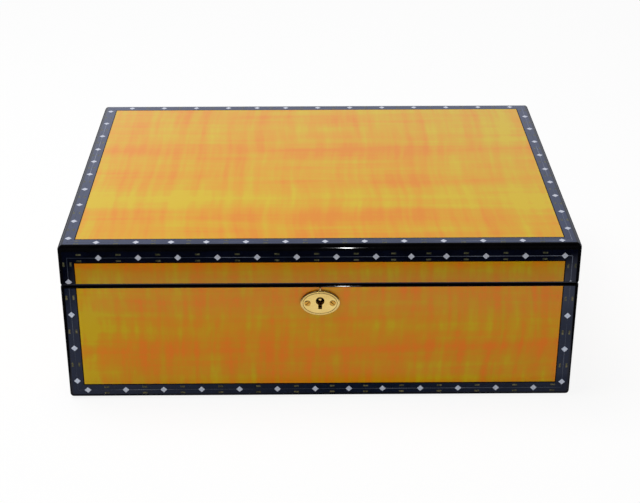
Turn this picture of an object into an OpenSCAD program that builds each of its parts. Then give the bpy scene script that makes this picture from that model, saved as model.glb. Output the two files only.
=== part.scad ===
// Desktop humidor with a hinged lid, inlaid borders, box lock, cedar lining and lift-out tray.
// Millimetres, +Z up, front towards -Y, origin under the middle of the felt pad.

/* [Box] */
// Outer width of the box
box_w = 340; // [310:1:400]
// Outer depth of the box
box_d = 250; // [220:1:300]
// Overall height with the felt pad
box_h = 116; // [115:0.5:124]
// Height of the lid, from the middle of the seam to the top
seam_h = 29.25; // [28:0.25:31]
// Gap between the closed lid and the box
seam_gap = 0.3; // [0.2:0.05:0.5]

/* [Walls] */
// Thickness of the wall cores
core_t = 12; // [11.5:0.5:14]
// Thickness of veneer, bands and inlays
skin_t = 0.8; // [0.5:0.1:1.1]
// Thickness of the bottom panel
bottom_t = 8; // [6:0.5:9]
// Thickness of the lid top core
lid_core_t = 8; // [6:0.5:9]
// Thickness of the felt pad
felt_t = 1; // [0.5:0.1:1.5]
// Distance of the felt pad from the outer edge
felt_inset = 4; // [3:0.5:12]
// Glue line that keeps neighbouring strips apart
glue = 0.04; // [0.02:0.01:0.08]

/* [Edging] */
// Radius of the top edges of the lid
top_r = 3.1; // [2:0.1:3.1]
// Height of the top edging on the lid sides
top_edge_h = 3.9; // [3.5:0.1:4.4]
// Radius of the upright edges
corner_r = 2.5; // [1:0.1:2.7]
// Radius of the foot edges
foot_r = 2.5; // [1:0.1:2.7]
// Radius of the upper edge of the box
rim_r = 1.2; // [0.6:0.1:1.5]
// Radius of the lower edge of the lid
lid_rim_r = 1.6; // [0.8:0.1:1.8]
// Flat land beside each rounded edge
edge_land = 0.15; // [0.1:0.01:0.15]

/* [Inlay] */
// Width of the border, outer edge to veneer
border_w = 10.6; // [9.8:0.1:12]
// Height of the border along the top of the lid sides
lid_border_h = 12.4; // [12:0.1:13]
// Height of the border along the foot of the box
foot_border_h = 10.6; // [9.8:0.1:12]
// Width of the black stringing beside the veneer
string_w = 0.7; // [0.4:0.1:1]
// Distance of the lozenge centres from the outer edge
mark_inset = 5.85; // [5.85:0.05:6.2]
// Distance of the lozenge centres below the top of the lid sides
lid_mark_drop = 8.4; // [8:0.1:8.6]
// Diagonal of a lozenge
lozenge = 4.5; // [3.5:0.1:5]
// Length of a dash
dash_l = 3.2; // [2:0.1:4]
// Width of a dash
dash_t = 1.2; // [0.6:0.1:1.3]
// Distance of a dash from the centre line of a side band
dash_offset = 2.3; // [1.6:0.1:2.5]
// Distance of a dash from the centre line of a top band
top_dash_offset = 1.9; // [1.5:0.05:1.95]
// Regular distance between lozenges
mark_pitch = 25.7; // [25:0.1:27]
// Short distance, used twice in each run
short_pitch = 22.85; // [20:0.05:25]
// Height lost to the saw when the lid was cut off
saw_kerf = 1.2; // [1:0.1:1.4]
// Height of the lowest lozenge in the left upright bands
left_rise = 13.1; // [12.5:0.1:13.5]
// Height of the lowest lozenge in the right upright bands
right_rise = 10.35; // [10.2:0.05:10.6]

/* [Lining and tray] */
// Thickness of the cedar lining of the box
lining_t = 4.5; // [3:0.5:6]
// Thickness of the cedar panel in the lid
lid_lining_t = 4; // [3:0.5:5]
// Height of the lining lip above the seam
lip_h = 6; // [4:0.5:7]
// Play between the lip and the lid
lip_gap = 0.5; // [0.4:0.1:0.8]
// Height of the space under the tray
under_tray_h = 34; // [28:1:36]
// Height of the tray
tray_h = 30; // [24:1:30]
// Thickness of the tray boards
tray_t = 5; // [4:0.5:7]
// Thickness of the tray bottom
tray_floor_t = 4; // [3:0.5:6]
// Play around the tray
tray_gap = 0.8; // [0.5:0.1:0.9]
// Width of an air slot in the tray bottom
air_slot_w = 8; // [5:0.5:12]
// Length of an air slot in the tray bottom
air_slot_l = 150; // [100:5:165]
// Width and height of a tray runner
runner = 8; // [6:0.5:12]
// Depth of the finger scoops
scoop = 9; // [5:0.5:12]
// Thickness of the tray divider
divider_t = 5; // [4:0.5:8]
// Distance of the divider right of the middle
divider_x = 40; // [35:1:45]

/* [Hinges] */
// Distance of each hinge from the middle
hinge_x = 95; // [70:1:105]
// Length of a hinge
hinge_l = 45; // [40:1:60]
// Width of a leaf on the rim
leaf_w = 9; // [8:0.5:10.5]
// Thickness of a leaf
leaf_t = 1.5; // [1.2:0.1:1.6]
// Outer radius of the knuckles
knuckle_r = 2.4; // [2.2:0.1:3]
// Radius of a hinge pin
pin_r = 1; // [0.8:0.05:1.2]
// Running play of a pin in its knuckles
pin_play = 0.03; // [0.02:0.01:0.06]

/* [Lock] */
// Width of the oval keyhole plate
plate_w = 26; // [25:0.5:32]
// Height of the oval keyhole plate
plate_h = 18.5; // [18:0.5:21]
// Thickness of the oval keyhole plate
plate_t = 1.4; // [1.2:0.1:2]
// Depth of the middle of the keyhole plate below the seam
plate_z = 12.75; // [12.55:0.05:13.35]
// Width of the spur on top of the keyhole plate
spur_w = 0.9; // [0.6:0.1:1.2]
// Height of the spur on top of the keyhole plate
spur_h = 1.8; // [1:0.1:2]
// Rise of the keyhole circle above the middle of the plate
key_rise = 1.7; // [1.3:0.1:2.1]
// Radius of the keyhole circle
key_r = 2.8; // [2.5:0.1:2.9]
// Width of the keyhole slot
key_slot_w = 2.4; // [2:0.1:3]
// Depth of the keyhole slot below the circle centre
key_drop = 6; // [5.3:0.1:6.5]
// Distance of each plate screw from the middle
plate_screw_x = 8.3; // [7.5:0.1:9]
// Width of the lock case
lock_w = 36; // [35:0.5:38]
// Depth of the lock case
lock_d = 7; // [6.5:0.1:7]
// Height of the lock case with its rim plate
lock_h = 22; // [20:0.5:26]
// Length of the rim plate and of the strike plate
rim_plate_l = 46; // [45.5:0.5:54]
// Width of the rim plate and of the strike plate
rim_plate_w = 9; // [8:0.1:9]
// Travel of the bolt
bolt_throw = 4.5; // [4:0.1:4.6]

/* [Screws] */
// Radius of a screw shank
shank_r = 1; // [0.8:0.05:1.1]
// Radius of a screw head
head_r = 1.9; // [1.7:0.05:2]
// Length of a screw
screw_l = 9; // [7:0.5:12]
// Play round screws and in mortises
slack = 0.1; // [0.05:0.01:0.15]

/* [Lid fittings] */
// Distance of the humidifier left of the middle
humidifier_x = 62; // [60:1:70]
// Width of the humidifier
humidifier_w = 130; // [110:1:135]
// Depth of the humidifier
humidifier_d = 56; // [45:1:70]
// Height of the humidifier
humidifier_h = 13; // [11:0.5:13]
// Distance of the hygrometer right of the middle
hygrometer_x = 80; // [70:1:90]
// Outer radius of the hygrometer case
hygrometer_r = 27; // [24:0.5:32]
// Height of the hygrometer case
hygrometer_h = 11; // [10.5:0.5:12]

/* [Hidden] */
$fn = 48;
edge_steps = 8;

// Part to draw: one sub-part name, or all

// Heights of the box and the lid
seam_z = box_h - seam_h;
base_top = seam_z - seam_gap / 2;
lid_low = seam_z + seam_gap / 2;
rail_top = box_h - top_edge_h;
rail_t = core_t - lip_gap;
panel_low = box_h - skin_t - lid_core_t;
lid_inside = panel_low - lid_lining_t;
floor_z = felt_t + bottom_t + lining_t;
lip_top = seam_z + lip_h;
strip_low = lip_top + lip_gap;

// Widths of the edging strips
top_edge = top_r + edge_land;
corner_edge = corner_r + edge_land;
foot_edge = foot_r + edge_land;
rim_edge = rim_r + edge_land;
lid_rim_edge = lid_rim_r + edge_land;

// Inside of the box and of the tray
wall_in = skin_t + core_t;
inside_x = box_w / 2 - wall_in - lining_t;
inside_y = box_d / 2 - wall_in - lining_t;
tray_z = floor_z + under_tray_h;
tray_top = tray_z + tray_h;
tray_x = inside_x - tray_gap;
tray_y = inside_y - tray_gap;
scoop_r = 30;

// Runs of lozenges: distance of the first from its end, and the step where two short steps begin
lid_long_run = [26.4, 7];
lid_short_run = [13.5, 4];
foot_long_run = [12.5, 6];
foot_short_run = [20, 3];
top_front_run = [24.8, 1];
top_back_run = [22.2, 3];
top_left_run = [12.5, 3];
top_right_run = [26.6, 4];
most_marks = 20;

// Least height of a lozenge that an edging cuts, and least distance of a dash from an edging
least_cut = 0.5;
dash_room = 0.3;

// Tray
runner_inset = 10;
air_slots = 8;
air_pitch = 2 * tray_x / (air_slots + 0.4);
divider_play = 0.2;
divider_drop = 3;

// Hinge axis and knuckles
axis_gap = 0.4;
axis_y = box_d / 2 + axis_gap + knuckle_r;
knuckles = 5;
knuckle_gap = 0.3;
knuckle_l = hinge_l / knuckles;
leaf_screws = [-0.34, 0, 0.34];

// Lock
lock_y = skin_t + core_t / 2;
lock_wall = 1;
plate_mid = seam_z - plate_z;
key_z = plate_mid + key_rise;
rim_plate_t = 1.5;
cavity_top = base_top - rim_plate_t;
case_low = base_top - lock_h;
finger_t = 1.6;
finger_h = 2;
finger_drop = 1.1;
finger_top = cavity_top - finger_drop;
eye_x = 8;
eye_t = 1.5;
eye_w = 4.4;
eye_gap = 0.4;
eye_room = 0.6;
eye_bar = 0.7;
eye_low = finger_top - finger_h - eye_gap - eye_bar;
bar_h = 2.4;
bar_top = eye_low - eye_gap;
bar_play = 0.3;
bar_y = lock_d - 2 * (lock_wall + bar_play);
post_w = 1.5;
finger_grip = 1.6;
finger_l = bolt_throw + eye_t / 2 + finger_grip;
notch_w = 5;
notch_h = 1;
post_r = 0.9;
plate_step = 0.4;
plate_rim = 0.6;
plate_sides = 72;

// Screws
head_h = 1;
head_rise = 0.3;
slot_w = 0.5;
slot_d = 0.5;
plate_screw_r = 0.8;
plate_screw_end = 2.8;
rim_screw_inset = 2.5;
rim_screw_x = rim_plate_l / 2 - rim_screw_inset;

// Humidifier and hygrometer
shell_t = 1.6;
grille_slots = 14;
glass_t = 1.5;
dial_t = 0.8;
bezel_t = 0.6;
bezel_skirt = 3;
dial_room = 5;
pivot_r = 0.6;
pivot_play = 0.05;
pivot_rise = 1.5;
needle_room = 8;
needle_l = hygrometer_r - needle_room;
needle_t = 0.5;
needle_tail = 7;
needle_z = 1.8;
hub_r = 1.6;
hub_h = 1.4;
hub_z = 2.2;
grille_open = 0.4;
grille_reach = 0.7;

// Sides are 0 front, 1 right, 2 back, 3 left
function side_len(k) = k % 2 == 0 ? box_w : box_d;
function side_out(k) = k % 2 == 0 ? box_d / 2 : box_w / 2;

// Corners of a rectangle, from the lower left round to the upper left
function corners(x0, x1, y0, y1) = [[x0, y0], [x1, y0], [x1, y1], [x0, y1]];

// Points of an oval with the half axes a and b
function oval(a, b) =
    [for (i = [0 : plate_sides - 1]) let (t = 360 * i / plate_sides) [a * cos(t), b * sin(t)]];

// Mitred strip s of a frame between an outer and an inner rectangle
function strip(o, i, s) =
    let (a = o[s], b = o[(s + 1) % 4], c = i[(s + 1) % 4], d = i[s], u = glue * (b - a) / norm(b - a))
    [a + u, b - u, c - u, d + u];

// Section of an edging strip with its outer corner rounded
function edge_section(w, h, r) = concat(
    [[w, 0], [w, h], [0, h]],
    [for (i = [0 : edge_steps]) let (a = 90 * i / edge_steps) [r - r * cos(a), r - r * sin(a)]]
);

// Section of a rounded corner of the box, from its upright axis outwards, where an edge of radius r meets it
function corner_section(h, r) =
    let (turn = r > corner_r ? acos(1 - corner_r / r) : 90)
    concat(
        [[0, h], [corner_r, h]],
        [
            for (i = [0 : edge_steps])
                let (a = turn * i / edge_steps)
                [i == edge_steps ? max(corner_r - r, 0) : corner_r - r + r * cos(a), r - r * sin(a)]
        ],
        corner_r > r ? [[0, 0]] : []
    );

// Plan of a board or strip of thickness t between mitres, set back by d from the outer face
function mitre_plan(len, d, t) = [
    [-len / 2 + d + glue, d], [len / 2 - d - glue, d],
    [len / 2 - d - t - glue, d + t], [-len / 2 + d + t + glue, d + t]
];

// Faces of a side: whole face, inside of the bands, veneer
function face_low(lid) = lid ? lid_low + lid_rim_edge : felt_t + foot_edge;
function face_high(lid) = lid ? rail_top : base_top - rim_edge;
function face(k, lid) =
    let (x = side_len(k) / 2 - corner_edge)
    corners(-x, x, face_low(lid), face_high(lid));
function inner_face(k, lid, w) =
    let (x = side_len(k) / 2 - border_w + w)
    corners(
        -x, x,
        lid ? face_low(lid) : felt_t + foot_border_h - w,
        lid ? box_h - lid_border_h + w : face_high(lid)
    );
function band_strips(lid) = lid ? [1, 2, 3] : [0, 1, 3];

// Faces of the lid top: whole face, inside of the bands, veneer
function top_face(w) = corners(w - box_w / 2, box_w / 2 - w, w - box_d / 2, box_d / 2 - w);

// Places of the lozenges of a run, and the middles between them
function mark(r, i) =
    r[0] + i * mark_pitch - (mark_pitch - short_pitch) * max(0, min(2, i - r[1]));
function marks(r, len) =
    let (c = mark_inset + lozenge)
    [for (i = [0 : most_marks]) let (p = mark(r, i)) if (p > c && p < len - c) p];
function middles(r, len) =
    let (c = border_w - string_w + dash_l / 2)
    [
        for (i = [-1 : most_marks])
            let (p = (mark(r, i) + mark(r, i + 1)) / 2)
            if (p > c && p < len - c) p
    ];

// Heights of the marks of an upright band; step is 0 for lozenges and 0.5 for dashes
function upright_mark(s, lid, n) =
    felt_t + (s == 1 ? right_rise : left_rise) + n * mark_pitch - (lid ? saw_kerf : 0);
function upright_lozenges(s, lid) = [
    for (n = [0 : 5])
        let (z = upright_mark(s, lid, n), half = lozenge / 2)
        if (z + half > face_low(lid) + least_cut && z - half < face_high(lid) - least_cut)
            if (!lid || z + half < box_h - lid_mark_drop) z
];
function upright_dashes(s, lid) = [
    for (n = [0 : 5])
        let (z = upright_mark(s, lid, n + 0.5), half = dash_l / 2)
        if (z - half > face_low(lid) + dash_room && z + half < face_high(lid) - dash_room)
            if (!lid || z < box_h - lid_border_h) z
];

// Turns to side k: x along the side, y inwards from its outer face
module on_side(k) {
    rotate(90 * k) translate([0, -side_out(k), 0]) children();
}

// A flat sheet in the outer skin of side k, drawn as x along and y up
module side_skin(k) {
    on_side(k) translate([0, skin_t, 0]) rotate([90, 0, 0]) linear_extrude(skin_t) children();
}

// A flat sheet in the outer skin of the lid top
module top_skin() {
    translate([0, 0, box_h - skin_t]) linear_extrude(skin_t) children();
}

// One lozenge
module lozenge_shape() {
    rotate(45) square(lozenge / sqrt(2), center = true);
}

// One pair of dashes across a band, each at an offset from its centre line
module dash_shapes(offset) {
    for (s = [-1, 1])
        translate([0, s * offset]) square([dash_l, dash_t], center = true);
}

// Run of lozenges along the level band of a side
function level_run(k, lid) =
    lid ? (k % 2 == 0 ? lid_long_run : lid_short_run) : (k % 2 == 0 ? foot_long_run : foot_short_run);
function level_z(lid) = lid ? box_h - lid_mark_drop : felt_t + mark_inset;

// Lozenges of strip s on side k
module side_lozenges(k, lid, s) {
    if (s % 2 == 0)
        for (p = marks(level_run(k, lid), side_len(k)))
            translate([p - side_len(k) / 2, level_z(lid)]) lozenge_shape();
    else
        intersection() {
            polygon(strip(face(k, lid), inner_face(k, lid, string_w), s));
            union() {
                for (z = upright_lozenges(s, lid))
                    translate([(2 - s) * (side_len(k) / 2 - mark_inset), z]) lozenge_shape();
            }
        }
}

// Dashes of strip s on side k
module side_dashes(k, lid, s) {
    if (s % 2 == 0)
        for (p = middles(level_run(k, lid), side_len(k)))
            translate([p - side_len(k) / 2, level_z(lid)]) dash_shapes(dash_offset);
    else
        for (z = upright_dashes(s, lid))
            translate([(2 - s) * (side_len(k) / 2 - mark_inset), z]) rotate(90) dash_shapes(dash_offset);
}

// Run of lozenges of strip s on the lid top
function top_run(s) = [top_front_run, top_right_run, top_back_run, top_left_run][s];

// Moves to a place on strip s of the lid top; the end strips count from the back
module on_top_strip(s, p) {
    if (s % 2 == 0)
        translate([p - box_w / 2, (s - 1) * (box_d / 2 - mark_inset)]) children();
    else
        translate([(2 - s) * (box_w / 2 - mark_inset), box_d / 2 - p]) rotate(90) children();
}

// Lozenges of strip s on the lid top
module top_lozenges(s) {
    for (p = marks(top_run(s), side_len(s))) on_top_strip(s, p) lozenge_shape();
}

// Dashes of strip s on the lid top
module top_dashes(s) {
    for (p = middles(top_run(s), side_len(s))) on_top_strip(s, p) dash_shapes(top_dash_offset);
}

// Bands of all sides
module side_bands(lid) {
    for (k = [0 : 3], s = band_strips(lid))
        side_skin(k) difference() {
            polygon(strip(face(k, lid), inner_face(k, lid, string_w), s));
            side_lozenges(k, lid, s);
            side_dashes(k, lid, s);
        }
}

// Stringing of all sides
module side_stringing(lid) {
    for (k = [0 : 3], s = band_strips(lid))
        side_skin(k) polygon(strip(inner_face(k, lid, string_w), inner_face(k, lid, 0), s));
}

// Veneer sheet of side k
module side_veneer(k, lid) {
    side_skin(k) polygon(inner_face(k, lid, 0));
}

// Mitred board of side k between two heights
module board(k, back, t, z0, z1) {
    on_side(k) translate([0, 0, z0]) linear_extrude(z1 - z0) polygon(mitre_plan(side_len(k), back, t));
}

// Room for the corner posts of side k
module corner_room(k) {
    on_side(k) for (s = [-1, 1])
        translate([s * side_len(k) / 2, 0, box_h / 2])
            cube([2 * corner_edge, 2 * corner_edge, 2 * box_h], center = true);
}

// Room for an edging strip of side k, centred on the height z
module strip_room(k, edge, z) {
    on_side(k) translate([0, 0, z]) cube([2 * box_w, 2 * edge, 2 * edge], center = true);
}

// Wall core of side k
module base_wall(k) {
    difference() {
        board(k, skin_t, core_t, felt_t, base_top);
        corner_room(k);
        strip_room(k, foot_edge, felt_t);
        strip_room(k, rim_edge, base_top);
    }
}

// Lid rail of side k
module lid_rail(k) {
    difference() {
        board(k, skin_t, rail_t, lid_low, rail_top);
        corner_room(k);
        strip_room(k, lid_rim_edge, lid_low);
    }
}

// The box between the heights z and z + h, or z - h, with corners that suit an edge of radius r at z
module corner_rounding(h, r, z, up) {
    translate([0, 0, up ? z + h / 2 : z - h / 2]) {
        cube([box_w - 2 * corner_r, box_d, h], center = true);
        cube([box_w, box_d - 2 * corner_r, h], center = true);
    }
    for (x = [-1, 1], y = [-1, 1])
        translate([x * (box_w / 2 - corner_r), y * (box_d / 2 - corner_r), z]) rotate_extrude()
            polygon([for (p = corner_section(h, r)) [p[0], up ? p[1] : -p[1]]]);
}

// Edging strip of side k with its rounded corner at the height z, turned up or down
module edge_strip(k, w, h, r, z, up) {
    intersection() {
        on_side(k) translate([0, 0, z]) rotate([90, 0, 90])
            translate([0, 0, -side_len(k) / 2]) linear_extrude(side_len(k))
                polygon([for (p = edge_section(w, h, r)) [p[0], up ? p[1] : -p[1]]]);
        on_side(k) linear_extrude(2 * box_h) polygon(mitre_plan(side_len(k), -1, w + 2));
        corner_rounding(h, r, z, up);
    }
}

// Corner posts between two heights
module corner_posts(z0, z1) {
    for (k = [0 : 3])
        on_side(k) translate([-side_len(k) / 2, 0, z0 + glue]) linear_extrude(z1 - z0 - 2 * glue)
            polygon(edge_section(corner_edge, corner_edge, corner_r));
}

// Keyhole through the front, from y0 to y1 inwards
module keyhole(y0, y1) {
    translate([0, y1, key_z]) rotate([90, 0, 0]) cylinder(r = key_r, h = y1 - y0);
    translate([-key_slot_w / 2, y0, key_z - key_drop]) cube([key_slot_w, y1 - y0, key_drop]);
}

// Countersunk wood screw pointing down from the origin, widened by extra
module screw(extra) {
    translate([0, 0, -screw_l - extra]) cylinder(r = shank_r + extra, h = screw_l + extra);
    translate([0, 0, -head_h - extra])
        cylinder(r1 = shank_r + extra, r2 = head_r + extra, h = head_h + extra);
}

// Slotted screw
module slotted_screw() {
    difference() {
        screw(0);
        cube([3 * head_r, slot_w, 2 * slot_d], center = true);
    }
}

// Places of the screws in the rim: hinge leaves at the back, lock plates at the front
module at_rim_screws() {
    for (h = [-1, 1], s = leaf_screws)
        translate([h * hinge_x + s * hinge_l, box_d / 2 - leaf_w / 2, 0]) children();
    for (s = [-1, 1])
        translate([s * rim_screw_x, lock_y - box_d / 2, 0]) children();
}

// Screws in the box rim, heads up
module base_rim_screws(extra) {
    at_rim_screws() translate([0, 0, base_top]) screw(extra);
}

// Screws in the lid rim, heads down
module lid_rim_screws(extra) {
    at_rim_screws() translate([0, 0, lid_low]) rotate([180, 0, 0]) screw(extra);
}

// Room for the hinge leaves, on one side of the seam
module leaf_room(up) {
    for (h = [-1, 1])
        translate([
            h * hinge_x - hinge_l / 2 - slack,
            box_d / 2 - leaf_w - slack,
            up ? lid_low - leaf_t : base_top - leaf_t - slack
        ]) cube([hinge_l + 2 * slack, leaf_w + 5, 2 * leaf_t + slack]);
}

// Screws of the keyhole plate
module plate_screws(extra, room) {
    for (s = [-1, 1])
        translate([s * plate_screw_x, -plate_t, plate_mid]) rotate([-90, 0, 0]) {
            cylinder(r = plate_screw_r + extra, h = plate_t + plate_screw_end + room);
            translate([0, 0, -head_rise]) cylinder(r = head_r + extra, h = head_rise);
            cylinder(r1 = head_r + extra, r2 = plate_screw_r + extra, h = head_h);
        }
}

// Leaf of one hinge with its knuckles; own lists the knuckles it carries
module leaf(z0, own) {
    difference() {
        union() {
            translate([-hinge_l / 2, box_d / 2 - leaf_w, z0])
                cube([hinge_l, leaf_w + axis_gap - knuckle_gap, leaf_t]);
            for (n = own) {
                translate([n * knuckle_l - hinge_l / 2 + knuckle_gap / 2, box_d / 2 - 1, z0])
                    cube([knuckle_l - knuckle_gap, axis_y - box_d / 2 + 1, leaf_t]);
                translate([n * knuckle_l - hinge_l / 2 + knuckle_gap / 2, axis_y, seam_z])
                    rotate([0, 90, 0]) cylinder(r = knuckle_r, h = knuckle_l - knuckle_gap);
            }
        }
        translate([-hinge_l, axis_y, seam_z]) rotate([0, 90, 0])
            cylinder(r = pin_r + pin_play, h = 2 * hinge_l);
    }
}

module base_front_wall() {
    color("burlywood") difference() {
        base_wall(0);
        on_side(0) {
            translate([-lock_w / 2 - slack, lock_y - lock_d / 2 - slack, case_low - slack])
                cube([lock_w + 2 * slack, lock_d + 2 * slack, lock_h + 1]);
            translate([-rim_plate_l / 2 - slack, lock_y - rim_plate_w / 2 - slack, cavity_top - slack])
                cube([rim_plate_l + 2 * slack, rim_plate_w + 2 * slack, rim_plate_t + 1]);
            keyhole(-1, lock_y);
            plate_screws(slack, slack);
        }
        base_rim_screws(slack);
    }
}

module base_back_wall() {
    color("burlywood") difference() {
        base_wall(2);
        leaf_room(false);
        base_rim_screws(slack);
    }
}

module base_left_wall() {
    color("burlywood") base_wall(3);
}

module base_right_wall() {
    color("burlywood") base_wall(1);
}

module base_bottom_panel() {
    color("burlywood") translate([wall_in - box_w / 2, wall_in - box_d / 2, felt_t])
        cube([box_w - 2 * wall_in, box_d - 2 * wall_in, bottom_t]);
}

module base_front_veneer() {
    color("goldenrod") difference() {
        side_veneer(0, false);
        on_side(0) {
            keyhole(-1, lock_y);
            plate_screws(slack, slack);
        }
    }
}

module base_back_veneer() {
    color("goldenrod") difference() {
        side_veneer(2, false);
        leaf_room(false);
    }
}

module base_left_veneer() {
    color("goldenrod") side_veneer(3, false);
}

module base_right_veneer() {
    color("goldenrod") side_veneer(1, false);
}

module base_border_bands() {
    color("midnightblue") side_bands(false);
}

module base_black_stringing() {
    color("black") side_stringing(false);
}

module base_lozenges() {
    color("lavender") for (k = [0 : 3], s = band_strips(false))
        side_skin(k) side_lozenges(k, false, s);
}

module base_gold_dashes() {
    color("darkkhaki") for (k = [0 : 3], s = band_strips(false))
        side_skin(k) side_dashes(k, false, s);
}

module base_edging() {
    color("black") {
        for (k = [0 : 3])
            edge_strip(k, foot_edge, foot_edge, foot_r, felt_t, true);
        difference() {
            for (k = [0 : 3])
                edge_strip(k, rim_edge, rim_edge, rim_r, base_top, false);
            leaf_room(false);
        }
        corner_posts(felt_t + foot_edge, base_top - rim_edge);
    }
}

module felt_pad() {
    color("darkgreen") translate([felt_inset - box_w / 2, felt_inset - box_d / 2, 0])
        cube([box_w - 2 * felt_inset, box_d - 2 * felt_inset, felt_t]);
}

module lining_floor() {
    color("sandybrown") translate([wall_in - box_w / 2, wall_in - box_d / 2, felt_t + bottom_t])
        cube([box_w - 2 * wall_in, box_d - 2 * wall_in, lining_t]);
}

module lining_front() {
    color("sandybrown") board(0, wall_in, lining_t, floor_z, lip_top);
}

module lining_back() {
    color("sandybrown") board(2, wall_in, lining_t, floor_z, lip_top);
}

module lining_left() {
    color("sandybrown") board(3, wall_in, lining_t, floor_z, lip_top);
}

module lining_right() {
    color("sandybrown") board(1, wall_in, lining_t, floor_z, lip_top);
}

module tray_runners() {
    color("peru") for (s = [-1, 1])
        translate([s * (inside_x - runner / 2), 0, tray_z - runner / 2])
            cube([runner, 2 * (inside_y - runner_inset), runner], center = true);
}

module lock_case() {
    color("gold") on_side(0) {
        difference() {
            union() {
                translate([-rim_plate_l / 2, lock_y - rim_plate_w / 2, cavity_top])
                    cube([rim_plate_l, rim_plate_w, rim_plate_t]);
                translate([-lock_w / 2, lock_y - lock_d / 2, case_low])
                    cube([lock_w, lock_d, lock_h - rim_plate_t]);
            }
            translate([lock_wall - lock_w / 2, lock_y - lock_d / 2 + lock_wall, case_low + lock_wall])
                cube([lock_w - 2 * lock_wall, lock_d - 2 * lock_wall, lock_h - rim_plate_t - lock_wall]);
            for (s = [-1, 1])
                translate([s * eye_x, lock_y, base_top])
                    cube([eye_t + 2 * eye_room, eye_w + 2 * eye_room, 4 * rim_plate_t], center = true);
            keyhole(0, lock_y);
            translate([0, box_d / 2, 0]) base_rim_screws(slack);
        }
        translate([0, lock_y + lock_d / 2 - lock_wall / 2, key_z]) rotate([90, 0, 0])
            cylinder(r = post_r, h = lock_y + lock_d / 2 - lock_wall / 2 - skin_t);
    }
}

module keyhole_plate() {
    color("gold") on_side(0) difference() {
        translate([0, 0, plate_mid]) rotate([90, 0, 0]) {
            linear_extrude(plate_t - plate_step) polygon(oval(plate_w / 2, plate_h / 2));
            linear_extrude(plate_t) polygon(oval(plate_w / 2 - plate_rim, plate_h / 2 - plate_rim));
            translate([-spur_w / 2, 0, 0]) cube([spur_w, plate_h / 2 + spur_h, plate_t - plate_step]);
        }
        keyhole(-5, 1);
        plate_screws(slack, slack);
    }
}

module keyhole_plate_screws() {
    color("khaki") on_side(0) difference() {
        plate_screws(0, 0);
        for (s = [-1, 1])
            translate([s * plate_screw_x, -plate_t - head_rise, plate_mid]) rotate([0, 45 * s, 0])
                cube([3 * head_r, 2 * slot_d, slot_w], center = true);
    }
}

module hinge_base_leaves() {
    color("gold") difference() {
        for (h = [-1, 1])
            translate([h * hinge_x, 0, 0]) leaf(base_top - leaf_t, [0, 2, 4]);
        base_rim_screws(slack);
    }
}

module hinge_pins() {
    color("khaki") for (h = [-1, 1])
        translate([h * hinge_x - hinge_l / 2, axis_y, seam_z]) rotate([0, 90, 0])
            cylinder(r = pin_r, h = hinge_l);
}

module base_screws() {
    color("khaki") at_rim_screws() translate([0, 0, base_top]) slotted_screw();
}

module lid_top_panel() {
    color("burlywood") {
        translate([top_edge - box_w / 2, top_edge - box_d / 2, rail_top])
            cube([box_w - 2 * top_edge, box_d - 2 * top_edge, top_edge_h - skin_t]);
        translate([skin_t + rail_t - box_w / 2, skin_t + rail_t - box_d / 2, panel_low])
            cube([box_w - 2 * (skin_t + rail_t), box_d - 2 * (skin_t + rail_t), rail_top - panel_low]);
    }
}

module lid_front_rail() {
    color("burlywood") difference() {
        lid_rail(0);
        on_side(0) translate([-rim_plate_l / 2 - slack, lock_y - rim_plate_w / 2 - slack, lid_low - 1])
            cube([rim_plate_l + 2 * slack, rim_plate_w + 2 * slack, rim_plate_t + slack + 1]);
        lid_rim_screws(slack);
    }
}

module lid_back_rail() {
    color("burlywood") difference() {
        lid_rail(2);
        leaf_room(true);
        lid_rim_screws(slack);
    }
}

module lid_left_rail() {
    color("burlywood") lid_rail(3);
}

module lid_right_rail() {
    color("burlywood") lid_rail(1);
}

module lid_top_veneer() {
    color("goldenrod") top_skin() polygon(top_face(border_w));
}

module lid_front_veneer() {
    color("goldenrod") side_veneer(0, true);
}

module lid_back_veneer() {
    color("goldenrod") difference() {
        side_veneer(2, true);
        leaf_room(true);
    }
}

module lid_left_veneer() {
    color("goldenrod") side_veneer(3, true);
}

module lid_right_veneer() {
    color("goldenrod") side_veneer(1, true);
}

module lid_border_bands() {
    color("midnightblue") {
        side_bands(true);
        for (s = [0 : 3])
            top_skin() difference() {
                polygon(strip(top_face(top_edge), top_face(border_w - string_w), s));
                top_lozenges(s);
                top_dashes(s);
            }
    }
}

module lid_black_stringing() {
    color("black") {
        side_stringing(true);
        for (s = [0 : 3])
            top_skin() polygon(strip(top_face(border_w - string_w), top_face(border_w), s));
    }
}

module lid_lozenges() {
    color("lavender") {
        for (k = [0 : 3], s = band_strips(true))
            side_skin(k) side_lozenges(k, true, s);
        for (s = [0 : 3])
            top_skin() top_lozenges(s);
    }
}

module lid_gold_dashes() {
    color("darkkhaki") {
        for (k = [0 : 3], s = band_strips(true))
            side_skin(k) side_dashes(k, true, s);
        for (s = [0 : 3])
            top_skin() top_dashes(s);
    }
}

module lid_edging() {
    color("black") {
        for (k = [0 : 3])
            edge_strip(k, top_edge, top_edge_h, top_r, box_h, false);
        difference() {
            for (k = [0 : 3])
                edge_strip(k, lid_rim_edge, lid_rim_edge, lid_rim_r, lid_low, true);
            leaf_room(true);
        }
        corner_posts(lid_low + lid_rim_edge, rail_top);
    }
}

module lid_lining_panel() {
    color("sandybrown")
        translate([skin_t + rail_t - box_w / 2, skin_t + rail_t - box_d / 2, lid_inside])
            cube([box_w - 2 * (skin_t + rail_t), box_d - 2 * (skin_t + rail_t), lid_lining_t]);
}

module lid_lining_strips() {
    color("sandybrown") for (k = [0 : 3])
        board(k, skin_t + rail_t, lining_t, strip_low, lid_inside);
}

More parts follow.
